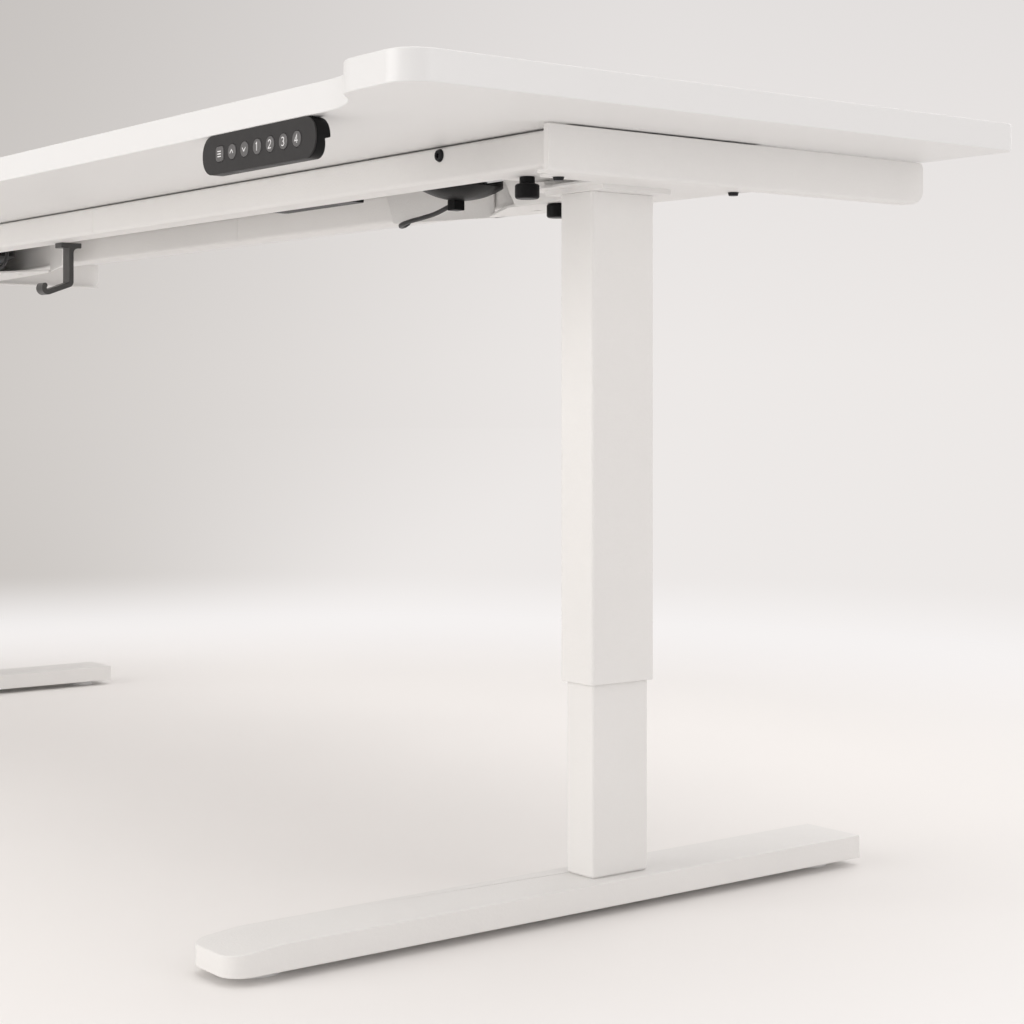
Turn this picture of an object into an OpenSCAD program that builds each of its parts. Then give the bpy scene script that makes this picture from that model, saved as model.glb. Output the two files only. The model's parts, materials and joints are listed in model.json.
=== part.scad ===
// Height adjustable standing desk: two-stage electric legs under a laminate top.
// Origin: centre of the footprint, on the floor. +X to the user's right, +Y away from the user.

/* [Desktop] */
// Width of the top
top_w = 2186; // [1700:1:2400]
// Depth of the top at its two wings
top_d = 752; // [700:1:900]
// Thickness of the top
top_t = 28; // [18:1:40]
// Height of the top's upper face when the joints are at rest
top_z = 777.5; // [760:0.5:800]
// Corner radius at the front of each wing
wing_r = 30; // [10:1:60]
// Corner radius at the back
back_r = 11; // [4:1:40]
// Depth of the user's recess in the front edge
recess_d = 45.7; // [30:0.1:60]
// Straight front edge of a wing, from the side edge
wing_w = 79; // [60:1:200]
// Radius of the wing's shoulder, where the recess starts
shoulder_r = 40; // [20:1:50]
// Column centre, in from the side edge
col_inset = 209; // [160:1:320]
// Column centre, back from the front of the wings
col_back = 385.4; // [340:0.1:430]

/* [Frame] */
// Rail height
rail_h = 34.5; // [28:0.5:40]
// Rail depth, web to flange edge
rail_d = 35; // [28:0.5:45]
// Sheet thickness of the rails
rail_t = 2; // [1.5:0.1:3]
// Front face of the front rail to the column centre
rail_y = 124.5; // [110:0.5:150]
// Rubber pads between the frame and the top
pad_t = 1.5; // [1:0.1:3]
// Sheet thickness of the side brackets and leg plates
plate_t = 3; // [2:0.5:4]
// Outer face of the side bracket to the column centre
side_x = 93.4; // [85:0.1:110]
// Side bracket, front end to the column centre
side_front = 148.5; // [140:0.5:200]
// Side bracket, length
side_len = 508; // [420:0.5:520]
// Height of the side bracket
side_h = 44; // [42:0.5:50]
// Radius of the side bracket's lower rear corner
side_r = 16; // [5:0.5:20]
// Radius of the side bracket's upper rear corner
side_top_r = 6; // [2:0.5:10]
// Thickness of the column's head flange
head_t = 5; // [3:0.5:8]

/* [Column] */
// Outer tube, front to back
tube_d = 80; // [70:1:96]
// Outer tube, side to side
tube_w = 50; // [44:1:62]
// Wall of both tubes
tube_t = 1.8; // [1.2:0.1:2.4]
// Step from the outer tube's face to the inner tube's face
tube_step = 4.5; // [3.5:0.1:6]
// Height of the outer tube's lower end at rest
tube_low = 220.5; // [180:0.5:260]
// Length of the inner tube
inner_len = 581.5; // [540:0.5:600]
// Running clearance of the plastic guides
guide_gap = 0.2; // [0.1:0.05:0.3]
// Dark gap between the inner tube and the foot
foot_gap = 1.5; // [0.5:0.1:3]

/* [Foot] */
// Width of a foot
foot_w = 77; // [70:1:100]
// Height of a foot's box
foot_h = 24; // [20:1:30]
// Foot, column centre to front end
foot_front = 446; // [420:1:500]
// Foot, column centre to rear end
foot_rear = 321; // [280:1:370]
// Radius of the front corners in plan
foot_r = 22; // [8:1:30]
// Wall of the foot
foot_t = 3; // [2:0.5:4]
// Height of the leveller pad under the foot
level_h = 8; // [6:0.5:12]
// Diameter of the leveller pad
level_dia = 40; // [28:1:50]

/* [Lift] */
// Lead screw diameter
screw_dia = 16; // [12:1:18]
// Highest lift above rest
lift_up = 300; // [200:5:320]
// Radial clearance of screws, shafts and studs in their bores
run_gap = 0.08; // [0.04:0.01:0.1]

/* [Drive] */
// Motor housing diameter
motor_dia = 92; // [84:1:110]
// Motor housing centre, inwards from the column
motor_in = 245; // [220:1:300]
// Motor housing height, dome included
motor_h = 29.6; // [27:0.1:32]
// Depth of the motor's domed cover
motor_dome = 13.1; // [8:0.1:16]
// Control box length
box_len = 170; // [130:1:220]
// Control box depth
box_d = 50; // [40:1:50]
// Control box, right end to the right column's centre
box_in = 376; // [350:1:450]
// Control box height
box_h = 30; // [20:1:32]

/* [Keypad] */
// Keypad length
pad_len = 204.8; // [190:0.1:260]
// Keypad height
pad_h = 37.6; // [30:0.1:44]
// Keypad depth
pad_d = 16; // [14:0.5:24]
// Right end of the keypad, from the top's side edge
pad_in = 206.7; // [190:0.1:400]
// Button diameter
key_dia = 14.6; // [12:0.1:17]
// Button pitch
key_pitch = 23.2; // [20:0.1:26]
// Height of a button over the face
key_proud = 1; // [0.8:0.1:1.5]

/* [Hook] */
// Width of the hook's strap
hook_w = 20; // [12:1:40]
// Length of the hook's head plate
hook_head = 30; // [20:1:40]
// Thickness of the hook's strap
hook_t = 7; // [3:0.5:8]
// Drop of the hook below the rail
hook_drop = 61; // [40:1:80]
// Reach of the hook's arm, forwards
hook_reach = 31; // [25:1:60]
// Hook, left of the right column
hook_in = 1040; // [600:1:1060]

/* [Hidden] */
$fn = 48;

// Levels, from the floor up
foot_low = level_h;
foot_top = foot_low + foot_h;
inner_low = foot_top + foot_gap;
inner_top = inner_low + inner_len;
under_z = top_z - top_t;
frame_top = under_z - pad_t;
rail_low = frame_top - rail_h;
side_low = frame_top - side_h;
saddle_top = side_low + plate_t;
tube_top = side_low - head_t;

// Plan
col_x = top_w / 2 - col_inset;
back_y = top_d - col_back;
col_y = (foot_front - back_y) / 2;
front_y = col_y - col_back;
rail_end = side_x - plate_t;
seam_x = 0;
rail_r = 4;
lip_w = 15;

// Colours
white = [0.93, 0.92, 0.91];
frame_white = [0.90, 0.89, 0.87];
black = [0.07, 0.07, 0.07];
soft_black = [0.12, 0.12, 0.125];
steel = [0.62, 0.63, 0.64];
brass = [0.72, 0.60, 0.33];
nylon = [0.80, 0.80, 0.78];

// A leg's frame: the column's centre on the floor, mirrored for the left leg
module leg(side) {
    if (side > 0) translate([col_x, col_y, 0]) children();
    else mirror([1, 0, 0]) translate([col_x, col_y, 0]) children();
}

module rrect(w, d, r) {
    square([w - 2 * r, d], center = true);
    square([w, d - 2 * r], center = true);
    for (sx = [-1, 1], sy = [-1, 1])
        translate([sx * (w / 2 - r), sy * (d / 2 - r)]) circle(r);
}

module tube(w, d, r, t, low, high) {
    translate([0, 0, low]) linear_extrude(high - low) difference() {
        rrect(w, d, r);
        rrect(w - 2 * t, d - 2 * t, max(r - t, 0.5));
    }
}

function arc(cx, cy, r, a0, a1, n) =
    [for (i = [0:n]) let (a = a0 + (a1 - a0) * i / n) [cx + r * cos(a), cy + r * sin(a)]];

// ---- Desktop ----

shoulder_a = 45;
shoulder_drop = shoulder_r * (1 - cos(shoulder_a));
bay_r = (recess_d - shoulder_drop) / (1 - cos(shoulder_a));
bay_x = wing_w + (shoulder_r + bay_r) * sin(shoulder_a);

// Right half of the outline, from the middle of the recess round to the middle of the back
function half_outline() = concat(
    [[0, front_y + recess_d]],
    arc(top_w / 2 - bay_x, front_y + recess_d - bay_r, bay_r, 90, 90 - shoulder_a, 12),
    arc(top_w / 2 - wing_w, front_y + shoulder_r, shoulder_r, 270 - shoulder_a, 270, 8),
    arc(top_w / 2 - wing_r, front_y + wing_r, wing_r, 270, 360, 15),
    arc(top_w / 2 - back_r, front_y + top_d - back_r, back_r, 0, 90, 9));

function flip(pts) = [for (i = [len(pts) - 1:-1:1]) [-pts[i][0], pts[i][1]]];

screw_xs = [-0.86, -0.5, 0.3, 0.72];
screw_r = 2.5;
pad_r = 10;
top_screw_len = 20;

function rail_screw_x(k) = k * col_x;

// Runs its children at each top screw: both rails, four along each
module at_top_screws() {
    for (k = screw_xs, y = [-rail_y + rail_d / 2, rail_y - rail_d / 2])
        translate([rail_screw_x(k), col_y + y, 0]) children();
}

// Wood screw holes of what hangs under the top: [x, y]
key_screw_y = front_y + recess_d + pad_d - 5;
pad_right = top_w / 2 - pad_in;
pad_mid = pad_right - pad_len / 2;
box_right = col_x - box_in;
box_mid_y = col_y - rail_y + rail_d + 3 + box_d / 2;
box_lug = 9;
box_back_y = box_mid_y + box_d / 2;
cable_jack = 52;
box_out_x = box_right - box_len / 2 + cable_jack;
under_screws = [[pad_mid - pad_len / 3, key_screw_y], [pad_mid + pad_len / 3, key_screw_y],
    [box_right + box_lug / 2, box_mid_y - 12], [box_right - box_len - box_lug / 2, box_mid_y + 12]];
under_r = 1.6;
under_len = 12;

module desktop() {
    color(white) difference() {
        translate([0, 0, under_z]) linear_extrude(top_t)
            polygon(concat(half_outline(), flip(half_outline())));
        at_top_screws() translate([0, 0, under_z - 1])
            cylinder(r = screw_r + run_gap, h = top_screw_len - pad_t - rail_t + 2);
        for (p = under_screws) translate([p[0], p[1], under_z - 1])
            cylinder(r = under_r + run_gap, h = under_len - 2);
    }
}

module isolation_pads() {
    color(soft_black) at_top_screws() translate([0, 0, frame_top]) difference() {
        cylinder(r = pad_r, h = pad_t);
        translate([0, 0, -1]) cylinder(r = screw_r + 0.5, h = pad_t + 2);
    }
}

module desktop_screws() {
    color(steel) at_top_screws() translate([0, 0, frame_top - rail_t]) {
        cylinder(r = screw_r, h = top_screw_len);
        translate([0, 0, -3]) cylinder(r = 6, h = 3);
    }
}

// ---- Rails ----

// Section of a rail: web to the front, flanges to the back
module rail_section() {
    difference() {
        translate([rail_d / 2, rail_h / 2]) rrect(rail_d, rail_h, rail_r);
        translate([rail_t, rail_t]) square([rail_d, rail_h - 2 * rail_t]);
        translate([rail_d - rail_r, -1]) square([rail_r + 1, rail_h + 2]);
    }
    for (z = [0, rail_h - rail_t])
        translate([rail_d - rail_r, z]) square([rail_r, rail_t]);
}

module rail(y, x0, x1) {
    color(frame_white) difference() {
        translate([x0, col_y + y, rail_low]) rotate([90, 0, 90])
            linear_extrude(x1 - x0) rail_section();
        at_top_screws() translate([0, 0, frame_top - rail_t - 1])
            cylinder(r = screw_r + 0.5, h = rail_t + 2);
        for (x = leg_bolt_xs) at_web(x, y) translate([0, 0, -1]) cylinder(r = 3.1, h = rail_t + 2);
        for (x = seam_bolt_xs) at_web(x, y) translate([0, 0, 0.3]) cylinder(r = 3.1, h = rail_t);
        for (x = clamp_xs) translate([x, col_y + clamp_y(y), rail_low - 1]) cylinder(r = 3.1, h = rail_t + 2);
    }
}

// Screws through a rail's web: one by each leg that shows, and one each side of the seam from inside
bolt_in = 110;
seam_bolt = 60;
bolt_z = under_z - 9.8;
leg_bolt_xs = [col_x - bolt_in, -col_x + bolt_in];
seam_bolt_xs = [seam_x - seam_bolt, seam_x + seam_bolt];

// Clamp screws up through the saddles into a rail's lower flange
clamp_in = 62;
clamp_back = 12.5;
clamp_xs = [col_x + clamp_in, -col_x - clamp_in];
function clamp_y(y) = y < 0 ? -rail_y + clamp_back : rail_y - clamp_back;

// Runs its children at a web's front face, Z pointing back through it
module at_web(x, y) {
    translate([x, col_y + y, bolt_z]) rotate([-90, 0, 0]) children();
}

rail_fronts = [-rail_y, rail_y - rail_d];
seam_gap = 0.4;

module front_rail_right() { rail(rail_fronts[0], seam_x + seam_gap / 2, col_x + rail_end); }
module front_rail_left() { rail(rail_fronts[0], -col_x - rail_end, seam_x - seam_gap / 2); }
module rear_rail_right() { rail(rail_fronts[1], seam_x + seam_gap / 2, col_x + rail_end); }
module rear_rail_left() { rail(rail_fronts[1], -col_x - rail_end, seam_x - seam_gap / 2); }

splice_len = 220;
splice_t = 3;
splice_h = rail_h - rail_r - rail_t - 0.5;

module rail_splices() {
    color(steel) for (y = rail_fronts) difference() {
        translate([seam_x - splice_len / 2, col_y + y + rail_t, rail_low + rail_r])
            cube([splice_len, splice_t, splice_h]);
        for (x = seam_bolt_xs) at_web(x, y) cylinder(r = 3.1, h = 20);
    }
}

// Round black heads: the leg screws show in front, the seam screws stay inside the channel
module rail_screws() {
    color(black) for (y = rail_fronts) {
        for (x = leg_bolt_xs) at_web(x, y) {
            cylinder(r = 3, h = 12);
            translate([0, 0, -3]) difference() {
                cylinder(r1 = 5.4, r2 = 6.7, h = 3);
                translate([0, 0, -1]) cylinder(r = 2.6, h = 2.8, $fn = 6);
            }
        }
        for (x = seam_bolt_xs) at_web(x, y) {
            translate([0, 0, 0.5]) cylinder(r = 3, h = splice_t + rail_t - 0.5);
            translate([0, 0, splice_t + rail_t]) cylinder(r = 5.5, h = 4);
        }
        for (x = clamp_xs) translate([x, col_y + clamp_y(y), side_low]) {
            cylinder(r = 3, h = rail_low - side_low + rail_t + 3);
            translate([0, 0, -3.5]) cylinder(r1 = 4.6, r2 = 5.5, h = 3.5);
        }
    }
}

// ---- Side bracket: an upright plate with a lip turned in along its foot ----

module side_bracket(side) {
    color(frame_white) leg(side) {
        intersection() {
            union() {
                translate([side_x - plate_t, -side_front, side_low]) cube([plate_t, side_len, side_h]);
                translate([side_x - lip_w - plate_t, -side_front, side_low])
                    cube([lip_w + plate_t, side_len, plate_t]);
                translate([side_x - 8, -side_front, side_low]) cube([8, plate_t, side_h]);
            }
            // Bend along the foot of the plate
            translate([0, -side_front - 1, side_low]) rotate([-90, 0, 0]) linear_extrude(side_len + 2) {
                translate([side_x - 60, -side_h - 1]) square([60 - rail_r, side_h + 1]);
                translate([side_x - rail_r - 1, -side_h - 1]) square([rail_r + 1, side_h + 1 - rail_r]);
                translate([side_x - rail_r, -rail_r]) circle(rail_r);
            }
            // Round rear corners
            translate([side_x - 60, -side_front, side_low]) rotate([90, 0, 90]) linear_extrude(61) {
                square([side_len - side_r, side_h]);
                translate([0, side_r]) square([side_len - side_top_r, side_h - side_r]);
                translate([0, side_r]) square([side_len, side_h - side_r - side_top_r]);
                translate([side_len - side_r, side_r]) circle(side_r);
                translate([side_len - side_top_r, side_h - side_top_r]) circle(side_top_r);
            }
        }
    }
}

module side_bracket_right() { side_bracket(1); }
module side_bracket_left() { side_bracket(-1); }

// ---- Leg plate: head flange, saddles under the rails, walls with slanted ends, motor strap ----

head_left = -43.5;
head_right = 45;
head_wall = 44;
wall_top = frame_top - 2;
strap_low = wall_top - plate_t;
mid_wall_y = -8;
mid_wall_len = 141;
rear_wall_len = 195;
brace_foot = [-437, 41];
brace_turn = 18;
brace_gap = 3.7;
brace_len = (rail_y - rail_d - brace_gap - brace_foot[1]) / sin(brace_turn);
knob_front = [-21, -rail_y + rail_d + 5.5];
knob_rear = [-132, 44];
neck_top = rail_low;
stud_r = 4;
tab_w = 61;
strap_front = -38;
strap_end = motor_in + motor_dia / 2 - 5;
slot_at = [-216, 72];
slot_size = [16, 6];

// Upright wall along X with a slanted, rounded left end: x0 is the foot of the slant
module wall(x0, x1, y, low, high, slant) {
    r = 4;
    translate([0, y + plate_t, 0]) rotate([90, 0, 0]) linear_extrude(plate_t)
        polygon(concat([[x1, low], [x1, high], [x0 - slant, high]],
            arc(x0 + r, low + r, r, 190, 270, 6)));
}

// Edges of the pan
pan_inner = rail_end - lip_w;
pan_wing = 50;
pan_front = -60;
pan_left = -62;
arm_front = 30;
arm_bend = -200;
brace_end = brace_foot + brace_len * [cos(brace_turn), sin(brace_turn)];

// Plan of the pan: a wing that narrows to the brace behind the motor
module pan_plan() {
    polygon([[pan_inner, -rail_y], [pan_wing, -rail_y], [pan_wing, pan_front], [pan_left, pan_front],
        [pan_left, arm_front], [arm_bend, arm_front], brace_end + [-1, -6], brace_end - [2, 0],
        brace_end + [36, 11], [pan_left, rail_y - 6], [pan_inner, rail_y]]);
}

module leg_plate(side) {
    color(frame_white) leg(side) difference() {
        union() {
            // Head flange on the column
            translate([head_left, -head_wall, tube_top])
                cube([head_right - head_left, 2 * head_wall, head_t]);
            translate([0, 0, side_low]) linear_extrude(plate_t) pan_plan();
            // Saddles
            translate([pan_wing + 2, -rail_y + 3, saddle_top])
                cube([pan_inner - pan_wing - 4, rail_d - 6, rail_low - saddle_top]);
            translate([pan_left + 7, rail_y - rail_d + 3, saddle_top])
                cube([pan_inner - pan_left - 9, rail_d - 8, rail_low - saddle_top]);
            // Walls
            wall(head_left + 0.5, head_right, -head_wall, tube_top, wall_top, 8);
            wall(-mid_wall_len, head_left + 0.5, mid_wall_y, tube_top, strap_low - 1, 25);
            wall(-rear_wall_len, head_right, head_wall - plate_t, side_low, wall_top, 10);
            translate([brace_foot[0], brace_foot[1], 0]) rotate([0, 0, brace_turn])
                wall(0, brace_len, 0, side_low, wall_top, 12);
            // Tab for the front knob bolt
            translate([knob_front[0] - 35, -rail_y + rail_d, neck_top])
                cube([tab_w, rail_y - rail_d - head_wall, plate_t]);
            // Strap over the motor
            translate([-strap_end, strap_front, strap_low])
                cube([strap_end - 40, head_wall - plate_t - strap_front, plate_t]);
        }
        translate([0, 0, tube_top - 1]) cylinder(r = 15, h = head_t + plate_t + 2);
        for (p = [knob_front, knob_rear])
            translate([p[0], p[1], side_low - 1]) cylinder(r = stud_r + run_gap, h = 14);
        for (y = [-1, 1]) translate([clamp_in, clamp_y(y), side_low - 1]) cylinder(r = 3.1, h = 12);
        // Slot beside the rear rail
        translate([slot_at[0], slot_at[1], side_low - 1]) cube([slot_size[0], slot_size[1], plate_t + 2]);
    }
}

module leg_plate_right() { leg_plate(1); }
module leg_plate_left() { leg_plate(-1); }

knob_r = 12;
knob_h = 14.5;
neck_r = 7.5;

// A round head, a neck up to the sheet it clamps, and the stud through it
module knob_bolt(p, top, neck_h) {
    translate([p[0], p[1], top - neck_h - knob_h]) {
        translate([0, 0, 1.5]) cylinder(r = knob_r, h = knob_h - 3);
        cylinder(r1 = knob_r - 1.5, r2 = knob_r, h = 1.5);
        translate([0, 0, knob_h - 1.5]) cylinder(r1 = knob_r, r2 = knob_r - 1.5, h = 1.5);
        translate([0, 0, knob_h]) cylinder(r = neck_r, h = neck_h);
        translate([0, 0, knob_h + neck_h - 0.5]) cylinder(r = stud_r, h = 7.5);
    }
}

module knob_bolts(side) {
    color(black) leg(side) {
        knob_bolt(knob_front, neck_top, 7);
        knob_bolt(knob_rear, side_low, 0.5);
    }
}

module knob_bolts_right() { knob_bolts(1); }
module knob_bolts_left() { knob_bolts(-1); }

// ---- Column ----

tube_r = 4;
inner_w = tube_w - 2 * tube_step;
inner_d = tube_d - 2 * tube_step;
inner_r = 3;
bore_w = tube_w - 2 * tube_t;
bore_d = tube_d - 2 * tube_t;
guide_len = 40;

module outer_tube(side) {
    color(frame_white) leg(side) tube(tube_w, tube_d, tube_r, tube_t, tube_low, tube_top);
}

module lower_guide(side) {
    color(nylon) leg(side) translate([0, 0, tube_low + 1]) linear_extrude(guide_len) difference() {
        rrect(bore_w, bore_d, tube_r - tube_t);
        rrect(inner_w + 2 * guide_gap, inner_d + 2 * guide_gap, inner_r + guide_gap);
    }
}

module upper_guide(side) {
    color(nylon) leg(side) translate([0, 0, inner_top - 30]) linear_extrude(30) difference() {
        rrect(bore_w - 2 * guide_gap, bore_d - 2 * guide_gap, tube_r - tube_t);
        rrect(inner_w, inner_d, inner_r);
    }
}

base_plate_w = inner_w - 2 * tube_t;
base_plate_d = inner_d - 2 * tube_t;
base_plate_t = 8;
foot_bolt_r = 4;
foot_bolt_xy = [[-10, -24], [10, -24], [-10, 24], [10, 24]];

module inner_tube(side) {
    color(frame_white) leg(side) difference() {
        union() {
            tube(inner_w, inner_d, inner_r, tube_t, inner_low, inner_top);
            translate([0, 0, foot_top]) linear_extrude(base_plate_t)
                rrect(base_plate_w, base_plate_d, inner_r - tube_t);
        }
        for (p = foot_bolt_xy) translate([p[0], p[1], foot_top - 1])
            cylinder(r = foot_bolt_r + run_gap, h = base_plate_t + 2);
    }
}

nut_h = 30;

module lead_nut(side) {
    color(brass) leg(side) difference() {
        translate([0, 0, inner_top - nut_h]) linear_extrude(nut_h)
            rrect(base_plate_w, base_plate_d, inner_r - tube_t);
        translate([0, 0, inner_top - nut_h - 1]) cylinder(r = screw_dia / 2 + run_gap, h = nut_h + 2);
    }
}

module outer_tube_right() { outer_tube(1); }
module outer_tube_left() { outer_tube(-1); }
module lower_guide_right() { lower_guide(1); }
module lower_guide_left() { lower_guide(-1); }
module upper_guide_right() { upper_guide(1); }
module upper_guide_left() { upper_guide(-1); }
module inner_tube_right() { inner_tube(1); }
module inner_tube_left() { inner_tube(-1); }
module lead_nut_right() { lead_nut(1); }
module lead_nut_left() { lead_nut(-1); }

// ---- Drive: bevel pair in the gearbox, hex shaft to the motor ----

gear_r = 20;
pinion_r = 10;
gear_gap = 0.35;
shaft_z = side_low + plate_t + 25;
gear_face = 0.4;
box_half_w = 36;
box_half_d = 39;
box_wall = 3;
gearbox_top = shaft_z + 14;
journal_r = 6;
hex_r = 4;

module gearbox(side) {
    color(soft_black) leg(side) difference() {
        translate([0, 0, saddle_top]) linear_extrude(gearbox_top - saddle_top)
            rrect(2 * box_half_w, 2 * box_half_d, 5);
        translate([0, 0, saddle_top + box_wall]) linear_extrude(gearbox_top - saddle_top - 2 * box_wall)
            rrect(2 * (box_half_w - box_wall), 2 * (box_half_d - box_wall), 3);
        translate([0, 0, saddle_top - 1]) cylinder(r = journal_r + run_gap, h = box_wall + 2);
        translate([-box_half_w - 1, 0, shaft_z]) rotate([0, 90, 0])
            cylinder(r = hex_r + run_gap, h = box_wall + 2);
    }
}

// Bevel gear on the lead screw: pitch cone meets the pinion's at the shafts' crossing
module screw_gear(side) {
    color(steel) leg(side) difference() {
        translate([0, 0, shaft_z - pinion_r - gear_gap]) {
            cylinder(r1 = gear_r, r2 = gear_r * (1 - gear_face), h = pinion_r * gear_face);
            translate([0, 0, -4]) cylinder(r = gear_r, h = 4);
        }
        translate([0, 0, shaft_z - 20]) cylinder(r = journal_r, h = 30);
    }
}

screw_low = inner_top - lift_up - nut_h - 15;

module lead_screw(side) {
    color(steel) leg(side) {
        translate([0, 0, screw_low]) cylinder(r = screw_dia / 2, h = saddle_top - 1 - screw_low);
        translate([0, 0, saddle_top - 1.5])
            cylinder(r = journal_r, h = shaft_z - pinion_r * (1 - gear_face) - gear_gap - saddle_top + 1.5);
    }
}

module drive_shaft(side) {
    color(steel) leg(side) {
        translate([-gear_r, 0, shaft_z]) rotate([0, 90, 0])
            cylinder(r1 = pinion_r, r2 = pinion_r * (1 - gear_face), h = gear_r * gear_face);
        translate([-gear_r - 4, 0, shaft_z]) rotate([0, 90, 0]) cylinder(r = pinion_r, h = 4);
        translate([-box_half_w - 3, 0, shaft_z]) rotate([0, 90, 0])
            cylinder(r = hex_r, h = box_half_w + 3 - gear_r - 4);
        translate([-motor_in + motor_r - shaft_bore + 3, 0, shaft_z]) rotate([0, 90, 0])
            cylinder(r = hex_r, h = motor_in - motor_r + shaft_bore - 6 - box_half_w, $fn = 6);
    }
}

motor_low = strap_low - motor_h;
plug_w = 14;
plug_h = 11.5;
plug_in = motor_in + 9;
seat_h = 1.5;

motor_r = motor_dia / 2;
dome_r = (motor_r * motor_r + motor_dome * motor_dome) / (2 * motor_dome);
shaft_bore = 15;

// A drum with a shallow domed cover below, bored for the hex shaft
module motor(side) {
    color(black) leg(side) translate([-motor_in, 0, motor_low]) difference() {
        rotate_extrude($fn = 96) polygon(concat(
            arc(0, dome_r, dome_r, -90, -90 + asin(motor_r / dome_r), 10),
            [[motor_r, motor_h], [0, motor_h]]));
        translate([motor_r - shaft_bore, 0, shaft_z - motor_low]) rotate([0, 90, 0])
            cylinder(r = hex_r + 0.5, h = shaft_bore + 5);
        // Flat seat for the plug
        translate([motor_in - plug_in, 0, -1]) cylinder(r = plug_w / 2 + 3, h = 1 + seat_h);
    }
}

module motor_plug(side) {
    color(black) leg(side) translate([-plug_in, 0, motor_low + seat_h - plug_h])
        linear_extrude(plug_h) rrect(plug_w, plug_w, 1.5);
}

module gearbox_right() { gearbox(1); }
module gearbox_left() { gearbox(-1); }
module screw_gear_right() { screw_gear(1); }
module screw_gear_left() { screw_gear(-1); }
module lead_screw_right() { lead_screw(1); }
module lead_screw_left() { lead_screw(-1); }
module drive_shaft_right() { drive_shaft(1); }
module drive_shaft_left() { drive_shaft(-1); }
module motor_right() { motor(1); }
module motor_left() { motor(-1); }
module motor_plug_right() { motor_plug(1); }
module motor_plug_left() { motor_plug(-1); }

// ---- Motor cables ----

cable_r = 2.6;
plug_x = col_x - plug_in;
plug_z = motor_low + seat_h - plug_h / 2;
run_z = under_z - cable_r - 0.4;

// Right motor to the control box: under the brace's corner, up behind it and round its end
cable_right = [[plug_x - 7, col_y, plug_z], [plug_x - 17, col_y + 1, plug_z - 1],
    [plug_x - 36, col_y + 6, plug_z - 3], [plug_x - 60, col_y + 12, plug_z - 5],
    [plug_x - 90, col_y + 19, plug_z - 6], [plug_x - 130, col_y + 28, plug_z - 7],
    [plug_x - 160, col_y + 37, plug_z - 8.5], [plug_x - 173, col_y + 48, plug_z - 8.5],
    [plug_x - 178, col_y + 60, plug_z - 4], [plug_x - 178, col_y + 67, plug_z + 8],
    [plug_x - 181, col_y + 69, plug_z + 22], [plug_x - 190, col_y + 63, plug_z + 31],
    [plug_x - 202, col_y + 47, plug_z + 33], [plug_x - 206, col_y + 25, plug_z + 32],
    [plug_x - 198, col_y + 3, plug_z + 30], [plug_x - 180, col_y - 14, plug_z + 28],
    [plug_x - 162, col_y - 24, plug_z + 26], [box_out_x, box_back_y, plug_z + 26]];

// Left motor to the control box: up to the top's underside and along it
lead_end = box_right - box_len - 34;
lead_clips = [[0.385, -50], [0.515, -56], [0.655, -58], [0.825, -60]];

// X of a share of the way from the left plug to the control box
function run_x(share) = -plug_x + share * (lead_end + plug_x);

cable_left = concat([[-plug_x + 7, col_y, plug_z], [-plug_x + 20, col_y + 1, plug_z - 2],
    [-plug_x + 45, col_y, plug_z - 3], [-plug_x + 70, col_y - 2, plug_z + 2],
    [-plug_x + 86, col_y - 5, plug_z + 13], [-plug_x + 98, col_y - 9, plug_z + 25],
    [-plug_x + 112, col_y - 13, run_z - 3], [-plug_x + 132, col_y - 17, run_z],
    [run_x(0.26), col_y - 36, run_z]],
    [for (c = lead_clips) [run_x(c[0]), col_y + c[1], run_z]],
    [[lead_end, col_y - 60, run_z - 1], [lead_end + 18, col_y - 61, run_z - 6],
    [lead_end + 34, col_y - 61, run_z - 9]]);

function unit(v) = v / norm(v);
function tangent(p, i) = unit(p[min(i + 1, len(p) - 1)] - p[max(i - 1, 0)]);
function ring(c, t, r, n) = let (u = unit(cross(t, [0, 0, 1])), w = cross(u, t))
    [for (k = [0:n - 1]) c + r * (cos(360 * k / n) * u + sin(360 * k / n) * w)];

// Round tube along points, its two ends square to the directions first and last
module sweep_tube(p, r, n, first, last) {
    m = len(p);
    pts = [for (i = [0:m - 1])
        each ring(p[i], i == 0 ? first : i == m - 1 ? last : tangent(p, i), r, n)];
    sides = [for (i = [0:m - 2], k = [0:n - 1]) [i * n + k, (i + 1) * n + k,
        (i + 1) * n + (k + 1) % n, i * n + (k + 1) % n]];
    caps = [[for (k = [0:n - 1]) k], [for (k = [n - 1:-1:0]) (m - 1) * n + k]];
    polyhedron(points = pts, faces = concat(sides, caps), convexity = 4);
}

module motor_cable_right() { color(black) sweep_tube(cable_right, cable_r, 10, [-1, 0, 0], [0, -1, 0]); }
module motor_cable_left() { color(black) sweep_tube(cable_left, cable_r, 10, [1, 0, 0], [1, 0, 0]); }

// Adhesive saddles that hold the left cable to the underside
module cable_clips() {
    color(black) for (c = lead_clips) translate([run_x(c[0]), col_y + c[1], run_z]) difference() {
        translate([-6, -8, -cable_r - 2.5]) cube([12, 16, under_z - run_z + cable_r + 2.5]);
        rotate([0, 90, 0]) translate([0, 0, -10]) cylinder(r = cable_r + 0.9, h = 20);
        translate([-7, -cable_r - 0.9, 0]) cube([14, 2 * cable_r + 1.8, under_z - run_z + 1]);
    }
}

// ---- Control box ----

socket_z = box_h / 2;
inlet = [28, 14, 16];
jack = [14, 12, 10];
jack_xs = [-2, 20];

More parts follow.
